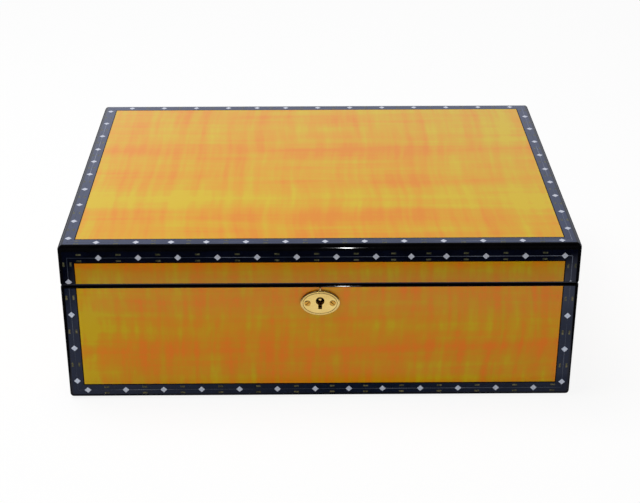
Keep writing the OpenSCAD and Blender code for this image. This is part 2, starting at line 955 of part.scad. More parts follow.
module strike_plate() {
    color("gold") on_side(0) difference() {
        union() {
            translate([-rim_plate_l / 2, lock_y - rim_plate_w / 2, lid_low])
                cube([rim_plate_l, rim_plate_w, rim_plate_t]);
            for (s = [-1, 1])
                translate([s * eye_x - eye_t / 2, lock_y - eye_w / 2, eye_low])
                    cube([eye_t, eye_w, lid_low - eye_low + 0.5]);
        }
        translate([-lock_w / 2, lock_y - finger_t / 2 - eye_gap, finger_top - finger_h - eye_gap])
            cube([lock_w, finger_t + 2 * eye_gap, finger_h + 2 * eye_gap]);
        translate([0, box_d / 2, 0]) lid_rim_screws(slack);
    }
}

module lid_screws() {
    color("khaki") at_rim_screws() translate([0, 0, lid_low]) rotate([180, 0, 0]) slotted_screw();
}

module hinge_lid_leaves() {
    color("gold") difference() {
        for (h = [-1, 1])
            translate([h * hinge_x, 0, 0]) leaf(lid_low, [1, 3]);
        lid_rim_screws(slack);
    }
}

module humidifier_case() {
    color("dimgray") translate([-humidifier_x, 0, lid_inside]) difference() {
        translate([-humidifier_w / 2, -humidifier_d / 2, -humidifier_h])
            cube([humidifier_w, humidifier_d, humidifier_h]);
        translate([shell_t - humidifier_w / 2, shell_t - humidifier_d / 2, -humidifier_h - 1])
            cube([humidifier_w - 2 * shell_t, humidifier_d - 2 * shell_t, humidifier_h + 1 - shell_t]);
    }
}

module humidifier_grille() {
    color("black") translate([-humidifier_x, 0, lid_inside - humidifier_h]) difference() {
        translate([shell_t + slack - humidifier_w / 2, shell_t + slack - humidifier_d / 2, 0])
            cube([humidifier_w - 2 * (shell_t + slack), humidifier_d - 2 * (shell_t + slack), shell_t]);
        for (n = [1 : grille_slots])
            translate([(n / (grille_slots + 1) - 0.5) * humidifier_w, 0, 0])
                cube([
                    grille_open * humidifier_w / grille_slots,
                    grille_reach * humidifier_d,
                    4 * shell_t
                ], center = true);
    }
}

module humidifier_foam() {
    color("green") translate([-humidifier_x, 0, lid_inside - humidifier_h + shell_t])
        translate([2 * shell_t - humidifier_w / 2, 2 * shell_t - humidifier_d / 2, 0])
            cube([humidifier_w - 4 * shell_t, humidifier_d - 4 * shell_t, humidifier_h - 2 * shell_t]);
}

module hygrometer_case() {
    color("gold") translate([hygrometer_x, 0, lid_inside - hygrometer_h]) difference() {
        cylinder(r = hygrometer_r, h = hygrometer_h);
        translate([0, 0, -1]) cylinder(r = hygrometer_r - shell_t, h = glass_t + dial_room + dial_t + 1);
        cylinder(r = hygrometer_r - 3 * shell_t, h = hygrometer_h - shell_t);
    }
}

module hygrometer_bezel() {
    color("khaki") translate([hygrometer_x, 0, lid_inside - hygrometer_h - bezel_t])
        rotate_extrude() polygon([
            [hygrometer_r - 2 * shell_t, 0],
            [hygrometer_r + shell_t, 0],
            [hygrometer_r + shell_t, bezel_t + bezel_skirt],
            [hygrometer_r + slack, bezel_t + bezel_skirt],
            [hygrometer_r + slack, bezel_t],
            [hygrometer_r - 2 * shell_t, bezel_t]
        ]);
}

module hygrometer_dial() {
    color("ivory") translate([hygrometer_x, 0, lid_inside - hygrometer_h + glass_t + dial_room])
        difference() {
            cylinder(r = hygrometer_r - shell_t - slack, h = dial_t);
            translate([0, 0, -1]) cylinder(r = pivot_r + pivot_play, h = dial_t + 2);
        }
}

module hygrometer_glass() {
    color("lightcyan", 0.4) translate([hygrometer_x, 0, lid_inside - hygrometer_h])
        cylinder(r = hygrometer_r - shell_t - slack, h = glass_t);
}

module hygrometer_needle() {
    color("black") translate([hygrometer_x, 0, lid_inside - hygrometer_h + glass_t + dial_room]) {
        translate([0, 0, -hub_z]) cylinder(r = hub_r, h = hub_h);
        translate([0, 0, -1]) cylinder(r = pivot_r, h = 1 + pivot_rise);
        translate([0, 0, -needle_z]) linear_extrude(needle_t) polygon([
            [-1.1, needle_tail], [-0.9, 0], [-0.25, -needle_l],
            [0.25, -needle_l], [0.9, 0], [1.1, needle_tail]
        ]);
    }
}

module lock_bolt() {
    color("khaki") on_side(0) difference() {
        union() {
            translate([-eye_x - finger_l - eye_gap, lock_y - bar_y / 2, bar_top - bar_h])
                cube([2 * eye_x + post_w, bar_y, bar_h]);
            for (s = [-1, 1]) {
                translate([s * eye_x - finger_l - eye_gap, lock_y - finger_t / 2, bar_top - 1])
                    cube([post_w, finger_t, finger_top - bar_top + 1]);
                translate([s * eye_x - finger_l - eye_gap, lock_y - finger_t / 2, finger_top - finger_h])
                    cube([finger_l - eye_t / 2, finger_t, finger_h]);
            }
        }
        translate([-bolt_throw / 2, lock_y, bar_top - bar_h])
            cube([notch_w, 2 * bar_y, 2 * notch_h], center = true);
    }
}

module tray_bottom() {
    color("sandybrown") difference() {
        translate([tray_t - tray_x, tray_t - tray_y, tray_z])
            cube([2 * (tray_x - tray_t), 2 * (tray_y - tray_t), tray_floor_t]);
        for (n = [0 : air_slots - 1])
            translate([(n - (air_slots - 1) / 2) * air_pitch, 0, tray_z])
                cube([air_slot_w, air_slot_l, 4 * tray_floor_t], center = true);
    }
}

module tray_sides() {
    color("peru") for (k = [0 : 3])
        difference() {
            board(k, wall_in + lining_t + tray_gap, tray_t, tray_z, tray_top);
            if (k % 2 == 1)
                on_side(k) translate([0, 0, tray_top + scoop_r - scoop]) rotate([-90, 0, 0])
                    cylinder(r = scoop_r, h = wall_in + lining_t + tray_gap + 2 * tray_t);
        }
}

module tray_divider() {
    color("sandybrown") translate([divider_x, 0, 0]) difference() {
        translate([-divider_t / 2, tray_t + lip_gap - tray_y, tray_z + tray_floor_t + divider_play])
            cube([divider_t, 2 * (tray_y - tray_t - lip_gap), tray_h - tray_floor_t - divider_drop]);
        translate([-divider_t, 0, tray_top + scoop_r - scoop]) rotate([0, 90, 0])
            cylinder(r = scoop_r, h = 2 * divider_t);
    }
}

base_front_wall();
base_back_wall();
base_left_wall();
base_right_wall();
base_bottom_panel();
base_front_veneer();
base_back_veneer();
base_left_veneer();
base_right_veneer();
base_border_bands();
base_black_stringing();
base_lozenges();
base_gold_dashes();
base_edging();
felt_pad();
lining_floor();
lining_front();
lining_back();
lining_left();
lining_right();
tray_runners();
lock_case();
keyhole_plate();
keyhole_plate_screws();
hinge_base_leaves();
hinge_pins();
base_screws();
lid_top_panel();
lid_front_rail();
lid_back_rail();
lid_left_rail();
lid_right_rail();
lid_top_veneer();
lid_front_veneer();
lid_back_veneer();
lid_left_veneer();
lid_right_veneer();
lid_border_bands();
lid_black_stringing();
lid_lozenges();
lid_gold_dashes();
lid_edging();
lid_lining_panel();
lid_lining_strips();
strike_plate();
lid_screws();
hinge_lid_leaves();
humidifier_case();
humidifier_grille();
humidifier_foam();
hygrometer_case();
hygrometer_bezel();
hygrometer_dial();
hygrometer_glass();
hygrometer_needle();
lock_bolt();
tray_bottom();
tray_sides();
tray_divider();
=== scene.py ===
"""Looks of a lacquered desktop humidor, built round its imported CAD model.

Everything is in metres: +X right, +Y back, +Z up, origin under the middle of the felt pad.
"""

import math
from operator import mul

import bpy
from mathutils import Euler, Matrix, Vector


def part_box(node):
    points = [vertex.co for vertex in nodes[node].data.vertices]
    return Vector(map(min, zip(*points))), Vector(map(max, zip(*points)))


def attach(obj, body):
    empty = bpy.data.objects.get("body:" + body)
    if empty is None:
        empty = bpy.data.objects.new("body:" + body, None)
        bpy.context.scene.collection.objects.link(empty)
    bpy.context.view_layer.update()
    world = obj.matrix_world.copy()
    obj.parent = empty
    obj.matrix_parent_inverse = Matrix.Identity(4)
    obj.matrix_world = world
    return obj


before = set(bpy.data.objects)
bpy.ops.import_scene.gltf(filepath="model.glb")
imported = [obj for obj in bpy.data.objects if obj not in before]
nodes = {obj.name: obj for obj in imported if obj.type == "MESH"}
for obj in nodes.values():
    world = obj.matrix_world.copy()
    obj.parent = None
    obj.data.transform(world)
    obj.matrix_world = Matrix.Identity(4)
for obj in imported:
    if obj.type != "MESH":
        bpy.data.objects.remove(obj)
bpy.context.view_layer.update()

# Sizes and places on the box

X, Y, Z = 0, 1, 2
MM = 0.001
foot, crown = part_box("base_edging")[0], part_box("lid_edging")[1]
BOX_W, BOX_D = crown[X] - foot[X], crown[Y] - foot[Y]
BOX_H, FELT = crown[Z], foot[Z]
BASE_HIGH, LID_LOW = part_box("base_front_veneer")[1][Z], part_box("lid_front_veneer")[0][Z]
dial_low, dial_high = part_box("hygrometer_dial")
DIAL_X, DIAL_Y, DIAL_Z = (dial_low[X] + dial_high[X]) / 2, (dial_low[Y] + dial_high[Y]) / 2, dial_low[Z]

# Centre line of the bands: how far in from the edges, and how far down from the lid's top on its sides
MARK_INSET, LID_MARK_DROP = 5.85 * MM, 8.4 * MM
# Where the grain turns at the ends of the tray and of the lid's lining: just inside the end pieces
GRAIN_MARGIN, LID_STRIP_T = 0.05 * MM, 4.5 * MM
TRAY_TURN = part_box("tray_bottom")[1][X] - GRAIN_MARGIN
LID_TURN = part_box("lid_lining_strips")[1][X] - LID_STRIP_T - GRAIN_MARGIN
# Line engraved in the keyhole plate, inside the edge of its oval: height of its centre and its two radii
PLATE_HALF_H, ENGRAVED_INSET = 9.25 * MM, 1.3 * MM
plate_low, plate_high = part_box("keyhole_plate")
PLATE_LINE = (plate_low[Z] + PLATE_HALF_H, plate_high[X] - ENGRAVED_INSET, PLATE_HALF_H - ENGRAVED_INSET)


# Node helpers

class Tree:
    """A node tree with a few short ways to add nodes and wire them."""

    def __init__(self, tree):
        self.tree = tree

    def node(self, kind, inputs=None, **settings):
        """A new node with its settings made and its inputs set or linked."""
        made = self.tree.nodes.new(kind)
        for key, value in settings.items():
            setattr(made, key, value)
        for key, value in (inputs or {}).items():
            self.feed(made.inputs[key], value)
        return made

    def feed(self, socket, value):
        """Links a socket to an output, or sets it to a constant."""
        if isinstance(value, bpy.types.NodeSocket):
            self.tree.links.new(value, socket)
        else:
            socket.default_value = value

    def math(self, operation, a, b=0.0, c=0.0):
        return self.node("ShaderNodeMath", {0: a, 1: b, 2: c}, operation=operation).outputs[0]

    def coordinate(self, kind):
        """Object, normal or generated coordinates."""
        return self.node("ShaderNodeTexCoord").outputs[kind]

    def split(self, vector):
        """The three parts of a vector."""
        return self.node("ShaderNodeSeparateXYZ", {0: vector}).outputs

    def position(self):
        return self.split(self.coordinate("Object"))

    def vector(self, x, y, z):
        return self.node("ShaderNodeCombineXYZ", {0: x, 1: y, 2: z}).outputs[0]

    def scaled(self, x, y, z):
        """Object coordinates times a factor for each axis."""
        inputs = {"Vector": self.coordinate("Object"), "Scale": (x, y, z)}
        return self.node("ShaderNodeMapping", inputs).outputs[0]

    def noise(self, vector, scale=1.0, detail=2.0, rough=0.5, distort=0.0):
        inputs = {"Vector": vector, "Scale": scale, "Detail": detail}
        inputs.update({"Roughness": rough, "Distortion": distort})
        return self.node("ShaderNodeTexNoise", inputs).outputs[0]

    def cells(self, scale, randomness=1.0):
        """Outputs of a pattern of cells, so many to a metre."""
        inputs = {"Vector": self.scaled(1, 1, 1), "Scale": scale, "Randomness": randomness}
        return self.node("ShaderNodeTexVoronoi", inputs).outputs

    def ramp(self, factor, stops):
        """A colour ramp; a stop's colour is a tuple or one number for a grey."""
        made = self.node("ShaderNodeValToRGB", {0: factor})
        while len(made.color_ramp.elements) < len(stops):
            made.color_ramp.elements.new(0.5)
        for element, (place, colour) in zip(made.color_ramp.elements, stops):
            element.position = place
            grey = not isinstance(colour, tuple)
            element.color = (colour, colour, colour, 1) if grey else (*colour, 1)
        return made.outputs[0]

    def mix(self, factor, a, b):
        """Colour a where the factor is 0 and colour b where it is 1."""
        made = self.node("ShaderNodeMix", data_type="RGBA")
        self.feed(made.inputs["Factor"], factor)
        for name, value in (("A", a), ("B", b)):
            socket = [s for s in made.inputs if s.name == name and s.type == "RGBA"][0]
            self.feed(socket, (*value, 1) if isinstance(value, tuple) else value)
        return [s for s in made.outputs if s.type == "RGBA"][0]

    def seen(self):
        """1 for rays that come straight or by a mirror or glass from the camera."""
        path = self.node("ShaderNodeLightPath").outputs
        bent = self.math("MAXIMUM", path["Is Glossy Ray"], path["Is Transmission Ray"])
        return self.math("MAXIMUM", path["Is Camera Ray"], bent)


class Shader(Tree):
    """A material with one Principled shader, whose sockets are set by name."""

    def __init__(self, name, **sockets):
        self.material = bpy.data.materials.new(name)
        self.material.use_nodes = True
        super().__init__(self.material.node_tree)
        self.bsdf = self.tree.nodes["Principled BSDF"]
        for socket, value in sockets.items():
            title = socket.replace("_", " ").title().replace("Ior", "IOR")
            self.bsdf.inputs[title].default_value = value

    def colour(self, value):
        self.feed(self.bsdf.inputs["Base Color"], value)

    def roughness(self, value):
        self.feed(self.bsdf.inputs["Roughness"], value)

    def bump(self, height, strength, distance):
        made = self.node("ShaderNodeBump", {"Height": height, "Strength": strength, "Distance": distance})
        self.feed(self.bsdf.inputs["Normal"], made.outputs[0])

    def blend(self, factor, other):
        """Mixes the Principled shader with another shader and shows the result."""
        inputs = {0: factor, 1: self.bsdf.outputs[0], 2: other.outputs[0]}
        made = self.node("ShaderNodeMixShader", inputs)
        self.feed(self.tree.nodes["Material Output"].inputs["Surface"], made.outputs[0])


def tinted(stops, tint):
    """Stops of a ramp with their red, green and blue scaled."""
    return [(place, tuple(map(mul, colour, tint))) for place, colour in stops]


# Materials

LACQUER = {"coat_weight": 1.0, "coat_roughness": 0.03, "coat_ior": 1.26, "specular_ior_level": 0.0}
DARK_LACQUER = {**LACQUER, "coat_ior": 1.42}
THIN_LACQUER = {**LACQUER, "coat_ior": 1.12}


def veneer(name, along, across, seed, curl, bands, runs, colours):
    """Curly figured veneer: long curl stripes cross the grain, and bands along it shift the colour.

    curl is the length of the longest stripes and how many there are to a metre. bands and runs list
    places across and along the grain, in millimetres, with the shift of colour there: 0.5 is none, more
    is nearer the orange end of colours and less is nearer the yellow one.
    """
    reach, stripes = curl
    s = Shader(name, roughness=0.45, **LACQUER)
    place = s.position()
    u, v = place[along], place[across]

    def layer(first, second, cut, detail, weight):
        """Noise round 0, so many swings to a metre along two coordinates; cut keeps the layers apart."""
        point = s.vector(s.math("MULTIPLY", *first), s.math("MULTIPLY", *second), seed + cut)
        return s.math("MULTIPLY_ADD", s.noise(point, detail=detail, rough=0.6), weight, -weight / 2)

    def profile(where, stops):
        """The value listed for a place in millimetres, run smoothly from one place to the next."""
        low, high = stops[0][0], stops[-1][0]
        share = s.math("DIVIDE", s.math("SUBTRACT", where, low * MM), (high - low) * MM)
        return s.ramp(share, [((p - low) / (high - low), value) for p, value in stops])

    bent = s.math("ADD", u, layer((u, 6.0), (v, 15.0), 0.4, 0.0, 0.011))
    wavy = s.math("ADD", v, layer((u, 6.0), (v, 12.0), 1.4, 0.0, 0.008))
    long_curl = layer((bent, stripes), (v, 1 / reach), 3.4, 1.5, 0.85)
    broad_curl = layer((bent, stripes / 3), (v, 1 / reach), 5.4, 0.5, 0.16)
    short_curl = layer((bent, stripes * 1.2), (v, 4 / reach), 7.4, 2.0, 0.62)
    patches = layer((u, 15.0), (v, 40.0), 9.4, 1.0, 0.31)
    streaks = layer((u, 11.0), (wavy, 150.0), 11.4, 1.0, 0.54)
    grain = layer((u, 9.0), (wavy, 620.0), 13.4, 2.0, 0.26)
    fine_grain = layer((u, 40.0), (wavy, 2400.0), 15.4, 2.0, 0.16)
    total = s.math("ADD", profile(wavy, bands), s.math("SUBTRACT", profile(u, runs), 0.5))
    for extra in (long_curl, broad_curl, short_curl, patches, streaks, grain, fine_grain):
        total = s.math("ADD", total, extra)
    s.colour(s.ramp(total, list(zip((0.15, 0.27, 0.40, 0.60, 0.73, 0.85), colours))))
    return s.material


def band_wood(name, side, top):
    """Dyed navy wood under lacquer, faint grain; side and top are dark and light pairs: side dye, and
    painted light on top faces.
    """
    s = Shader(name, roughness=0.5, **DARK_LACQUER)
    grain = s.noise(s.scaled(260, 260, 260), detail=3.0)
    cloud = s.noise(s.scaled(40, 40, 40), detail=1.0)
    mixed = s.math("MULTIPLY_ADD", grain, 0.5, s.math("MULTIPLY", cloud, 0.5))
    side_dye, top_painted_light = [s.ramp(mixed, [(0.3, dark), (0.7, light)]) for dark, light in (side, top)]
    # Faces that look up get the top colours instead of the dye: painted light and reflection, lighter and
    # bluer
    up = s.split(s.coordinate("Normal"))[Z]
    s.colour(s.mix(s.ramp(up, [(0.4, 0.0), (0.6, 1.0)]), side_dye, top_painted_light))
    return s.material


def black_lacquer(name):
    """Black lacquer with a trace of brown grain in its depth."""
    s = Shader(name, roughness=0.4, **DARK_LACQUER)
    grain = s.noise(s.scaled(120, 120, 400), detail=3.0)
    s.colour(s.ramp(grain, [(0.3, (0.0006, 0.0006, 0.0010)), (0.75, (0.0026, 0.0022, 0.0024))]))
    return s.material


def ebony():
    """Brown-black stringing with little gloss."""
    s = Shader("ebony", roughness=0.5, **THIN_LACQUER)
    grain = s.noise(s.scaled(300, 300, 300), detail=3.0)
    s.colour(s.ramp(grain, [(0.3, (0.004, 0.002, 0.0004)), (0.7, (0.013, 0.006, 0.0012))]))
    return s.material


def pearl(name, tint):
    """Mother-of-pearl: pale, with soft blue and rose clouds; tint scales its red, green and blue."""
    s = Shader(name, roughness=0.3, **LACQUER)
    cloud = s.noise(s.scaled(520, 520, 520), detail=2.0, distort=0.6)
    stops = [(0.25, (0.54, 0.57, 0.68)), (0.45, (0.62, 0.64, 0.74)),
             (0.6, (0.69, 0.70, 0.78)), (0.8, (0.64, 0.61, 0.70))]
    s.colour(s.ramp(cloud, tinted(stops, tint)))
    return s.material


def gold_inlay(name, tint):
    """Dull gold inlay cut from small blocks of uneven tone; tint scales its red, green and blue."""
    s = Shader(name, roughness=0.45, **LACQUER)
    tone = s.split(s.cells(820.0, 0.5)["Color"])[0]
    stops = [(0.1, (0.06, 0.055, 0.020)), (0.5, (0.12, 0.105, 0.040)), (0.9, (0.18, 0.155, 0.065))]
    s.colour(s.ramp(tone, tinted(stops, tint)))
    return s.material


def hairline():
    """Fine silver line that shows in places and is nearly lost in others."""
    s = Shader("hairline", roughness=0.35, **LACQUER)
    patch = s.noise(s.scaled(22, 22, 22), detail=2.0)
    s.colour(s.ramp(patch, [(0.40, (0.030, 0.037, 0.055)), (0.54, (0.070, 0.082, 0.112)),
                            (0.68, (0.17, 0.19, 0.24))]))
    return s.material


def cedar(name, along, seed, turn=None):
    """Bare cedar with grain along one axis; further from the middle than turn, it runs along Y."""
    s = Shader(name, roughness=0.62, specular_ior_level=0.3)
    place = s.position()

    def grain(axis):
        step = [90.0, 90.0, 90.0]
        step[axis] = 3.2
        point = s.vector(*[s.math("MULTIPLY_ADD", place[i], step[i], seed * (i + 1)) for i in (X, Y, Z)])
        broad = s.noise(point, scale=0.9, detail=3.0, distort=0.35)
        lines = s.noise(point, scale=7.0, detail=2.0)
        return s.math("MULTIPLY_ADD", lines, 0.42, s.math("MULTIPLY", broad, 0.62))

    total = grain(along)
    if turn is not None:
        end = s.math("GREATER_THAN", s.math("ABSOLUTE", place[X]), turn)
        turned = s.math("SUBTRACT", grain(Y), total)
        total = s.math("MULTIPLY_ADD", end, turned, total)
    s.colour(s.ramp(total, [(0.30, (0.300, 0.118, 0.052)), (0.48, (0.470, 0.222, 0.108)),
                            (0.60, (0.560, 0.292, 0.150)), (0.74, (0.640, 0.368, 0.205))]))
    s.roughness(s.ramp(total, [(0.3, 0.72), (0.7, 0.55)]))
    s.bump(total, 0.25, 0.3 * MM)
    return s.material


def brass(name, oval=None, reddening=0.0, metallic=1.0):
    """Satin brass with faint brushing.

    reddening reddens and darkens it evenly. oval, as the height of a centre and two radii, engraves a
    dotted line and paints shade on the edges of the plate, the faces that don't face the front.
    """
    s = Shader(name, metallic=metallic)
    brush = s.noise(s.scaled(180, 900, 900), detail=3.0)
    cloud = s.noise(s.scaled(60, 60, 60), detail=2.0)
    tone = s.math("MULTIPLY_ADD", brush, 0.35, s.math("MULTIPLY", cloud, 0.65))
    colour = s.ramp(tone, [(0.3, (0.97, 0.63, 0.15)), (0.7, (1.00, 0.71, 0.20))])
    # Mixes an even darker red into the whole colour by this share
    colour = s.mix(reddening, colour, (0.62, 0.24, 0.001))
    height = s.math("MULTIPLY", brush, 0.12)
    if oval:
        z, a, b = oval
        place = s.position()
        across = s.math("DIVIDE", place[X], a)
        up = s.math("DIVIDE", s.math("SUBTRACT", place[Z], z), b)
        ring = s.math("SQRT", s.math("MULTIPLY_ADD", across, across, s.math("MULTIPLY", up, up)))
        line = s.ramp(ring, [(0.92, 0.0), (0.955, 1.0), (0.975, 1.0), (1.0, 0.0)])
        beads = s.math("SINE", s.math("MULTIPLY", s.math("ARCTAN2", up, across), 64.0))
        line = s.math("MULTIPLY", line, s.math("MULTIPLY_ADD", beads, 0.20, 0.55))
        # Painted shade: faces that don't face the front, the plate's rim, take the engraving's dark
        # colour
        facing = s.math("ABSOLUTE", s.split(s.coordinate("Normal"))[Y])
        edge = s.ramp(facing, [(0.35, 1.0), (0.75, 0.0)])
        colour = s.mix(s.math("MAXIMUM", line, edge), colour, (0.40, 0.17, 0.03))
        height = s.math("SUBTRACT", height, line)
    s.colour(colour)
    s.roughness(s.ramp(tone, [(0.3, 0.26), (0.7, 0.17)]))
    s.bump(height, 0.5, 0.2 * MM)
    return s.material


def felt():
    """Short dark green felt."""
    s = Shader("felt", roughness=0.95, specular_ior_level=0.1, sheen_weight=0.35, sheen_roughness=0.6)
    fuzz = s.noise(s.scaled(1, 1, 1), scale=1600.0, detail=4.0, rough=0.7)
    s.colour(s.ramp(fuzz, [(0.3, (0.006, 0.024, 0.012)), (0.7, (0.020, 0.062, 0.032))]))
    s.bump(fuzz, 0.6, 0.4 * MM)
    return s.material


def plastic():
    """Black moulded plastic with a fine leather-like grain."""
    s = Shader("black_plastic", specular_ior_level=0.4)
    cloud = s.noise(s.scaled(1, 1, 1), scale=70.0, detail=3.0)
    s.colour(s.ramp(cloud, [(0.3, (0.010, 0.010, 0.011)), (0.7, (0.021, 0.021, 0.022))]))
    s.roughness(s.ramp(cloud, [(0.3, 0.48), (0.7, 0.36)]))
    s.bump(s.cells(1500.0)["Distance"], 0.12, 0.2 * MM)
    return s.material


def foam():
    """Open-cell green foam."""
    s = Shader("foam", roughness=0.95, specular_ior_level=0.1)
    depth = s.cells(900.0)["Distance"]
    # Darker where the cells are deep: painted shade in the pores
    s.colour(s.ramp(depth, [(0.1, (0.012, 0.045, 0.018)), (0.6, (0.055, 0.170, 0.070))]))
    s.bump(depth, 0.8, 0.6 * MM)
    return s.material


RING_SPAN = 30 * MM


def dial():
    """Cream dial with a fine printed ring, placed as shares of RING_SPAN, and a little unevenness."""
    s = Shader("dial", roughness=0.55, specular_ior_level=0.3)
    place = s.position()
    dx, dy = s.math("SUBTRACT", place[X], DIAL_X), s.math("SUBTRACT", place[Y], DIAL_Y)
    radius = s.math("SQRT", s.math("MULTIPLY_ADD", dx, dx, s.math("MULTIPLY", dy, dy)))
    share = s.math("DIVIDE", radius, RING_SPAN)
    ring = s.ramp(share, [(0.765, 0.0), (0.768, 1.0), (0.778, 1.0), (0.781, 0.0)])
    mottle = s.noise(s.scaled(1, 1, 1), scale=400.0, detail=3.0)
    paper = s.ramp(mottle, [(0.3, (0.80, 0.76, 0.64)), (0.7, (0.87, 0.83, 0.71))])
    s.colour(s.mix(ring, paper, (0.02, 0.018, 0.016)))
    return s.material


def ink(name, dark, light):
    """Matt paint or printing ink with a slight mottle."""
    s = Shader(name, roughness=0.5, specular_ior_level=0.3)
    s.colour(s.ramp(s.noise(s.scaled(1, 1, 1), scale=600.0), [(0.3, dark), (0.7, light)]))
    return s.material


def glass():
    """Clear glass with faint smears, which lets the light through to the dial."""
    s = Shader("glass", transmission_weight=1.0, ior=1.45)
    smear = s.noise(s.scaled(1, 1, 1), scale=60.0, detail=4.0)
    s.colour(s.ramp(smear, [(0.3, (0.93, 0.97, 0.96)), (0.7, (0.97, 0.99, 0.98))]))
    s.roughness(s.ramp(smear, [(0.45, 0.01), (0.8, 0.05)]))
    path = s.node("ShaderNodeLightPath").outputs
    light = s.math("MAXIMUM", path["Is Shadow Ray"], path["Is Diffuse Ray"])
    s.blend(light, s.node("ShaderNodeBsdfTransparent"))
    return s.material


# Figure and dye of each face

TOP_CURL, SIDE_CURL = (0.22, 140.0), (0.07, 190.0)
TOP_BANDS = [(-112, 0.62), (-104, 0.64), (-97, 0.52), (-82, 0.74), (-74, 0.68), (-64, 0.32),
             (-52, 0.26), (-40, 0.42), (-22, 0.60), (14, 0.50), (26, 0.62), (34, 0.76),
             (42, 0.66), (50, 0.49), (86, 0.49), (98, 0.58), (112, 0.44)]
FRONT_BANDS = [(0, 0.48), (24, 0.44), (31, 0.57), (38, 0.70), (45, 0.52), (52, 0.38), (64, 0.40),
               (74, 0.56), (84, 0.56), (90, 0.42), (96, 0.42), (100, 0.58), (106, 0.60)]
SIDE_BANDS = [(0, 0.50), (20, 0.58), (38, 0.42), (55, 0.60), (70, 0.44), (86, 0.56), (116, 0.48)]
TOP_RUNS = [(-160, 0.43), (0, 0.50), (60, 0.44), (160, 0.31)]
FRONT_RUNS = [(-160, 0.28), (-140, 0.42), (-90, 0.49), (-30, 0.54), (90, 0.54), (160, 0.57)]
LID_RUNS = [(-160, 0.40), (-130, 0.50), (-60, 0.52), (30, 0.54), (100, 0.48), (160, 0.42)]
SIDE_RUNS = [(-160, 0.46), (0, 0.54), (160, 0.48)]
TOP_COLOURS = ((0.612, 0.422, 0.001), (0.612, 0.387, 0.001), (0.632, 0.347, 0.001),
               (0.662, 0.297, 0.001), (0.677, 0.259, 0.002), (0.687, 0.232, 0.003))
SIDE_COLOURS = ((0.665, 0.430, 0.002), (0.680, 0.376, 0.002), (0.710, 0.328, 0.002),
                (0.760, 0.277, 0.003), (0.810, 0.245, 0.004), (0.850, 0.218, 0.005))
# Painted shade: the lid's front veneer takes the side veneer's colours darkened by this factor
LID_PAINTED_SHADE = 0.82
LID_PAINTED_SHADE_COLOURS = [tuple(LID_PAINTED_SHADE * c for c in colour) for colour in SIDE_COLOURS]
BASE_DYE = ((0.0015, 0.0040, 0.0125), (0.0055, 0.0110, 0.0315))
LID_DYE = ((0.0004, 0.0008, 0.004), (0.0020, 0.0032, 0.011))
# Lid band's upward faces: painted light and reflection, lighter and bluer than the dye on its sides
TOP_PAINTED_LIGHT = ((0.0035, 0.0100, 0.042), (0.0075, 0.0180, 0.064))

veneer_top = veneer("veneer_top", X, Y, 2.0, TOP_CURL, TOP_BANDS, TOP_RUNS, TOP_COLOURS)
veneer_front = veneer("veneer_front", X, Z, 30.0, SIDE_CURL, FRONT_BANDS, FRONT_RUNS, SIDE_COLOURS)
veneer_lid_front = veneer("veneer_lid_front", X, Z, 30.0, SIDE_CURL, FRONT_BANDS, LID_RUNS, LID_PAINTED_SHADE_COLOURS)
veneer_back = veneer("veneer_back", X, Z, 43.0, SIDE_CURL, SIDE_BANDS, SIDE_RUNS, SIDE_COLOURS)
veneer_left = veneer("veneer_left", Y, Z, 65.0, SIDE_CURL, SIDE_BANDS, SIDE_RUNS, SIDE_COLOURS)
veneer_right = veneer("veneer_right", Y, Z, 87.0, SIDE_CURL, SIDE_BANDS, SIDE_RUNS, SIDE_COLOURS)
edging, core = black_lacquer("black_lacquer"), black_lacquer("core_lacquer")
stringing, silver = ebony(), hairline()
cedar_x, cedar_y = cedar("cedar_x", X, 1.0), cedar("cedar_y", Y, 5.0)
cedar_floor = cedar("cedar_floor", X, 9.0)
metal = brass("brass", metallic=0.70)
case_plastic = plastic()
print_ink = ink("print_ink", (0.012, 0.011, 0.010), (0.024, 0.022, 0.020))

FINISH = {
    "lid_top_veneer": veneer_top,
    "base_front_veneer": veneer_front,
    "lid_front_veneer": veneer_lid_front,
    "base_border_bands": band_wood("base_band", BASE_DYE, BASE_DYE),
    "lid_border_bands": band_wood("lid_band", LID_DYE, TOP_PAINTED_LIGHT),
    "base_lozenges": pearl("base_pale_inlay", (1.0, 1.07, 1.12)),
    "lid_lozenges": pearl("lid_pale_inlay", (0.77, 0.79, 0.80)),
    "base_gold_dashes": gold_inlay("base_gold_inlay", (1.0, 1.04, 1.2)),
    "lid_gold_dashes": gold_inlay("lid_gold_inlay", (0.56, 0.64, 0.85)),
    "felt_pad": felt(),
    "tray_sides": cedar("cedar_tray", X, 13.0, TRAY_TURN),
    "lid_lining_strips": cedar("cedar_lid", X, 17.0, LID_TURN),
    "keyhole_plate": brass("plate_brass", PLATE_LINE),
    "keyhole_plate_screws": brass("screw_brass", reddening=0.75),
    "humidifier_foam": foam(),
    "hygrometer_dial": dial(),
    "hygrometer_glass": glass(),
    "hygrometer_needle": ink("needle", (0.010, 0.010, 0.011), (0.022, 0.021, 0.021)),
}
SHARED = (
    (veneer_back, ("base_back_veneer", "lid_back_veneer")),
    (veneer_left, ("base_left_veneer", "lid_left_veneer")),
    (veneer_right, ("base_right_veneer", "lid_right_veneer")),
    (stringing, ("base_black_stringing", "lid_black_stringing")),
    (edging, ("base_edging", "lid_edging")),
    (cedar_x, ("lining_front", "lining_back")),
    (cedar_y, ("lining_left", "lining_right", "tray_runners", "tray_divider")),
    (cedar_floor, ("lining_floor", "tray_bottom", "lid_lining_panel")),
    (case_plastic, ("humidifier_case", "humidifier_grille")),
)
for finish, names in SHARED:
    FINISH.update(dict.fromkeys(names, finish))
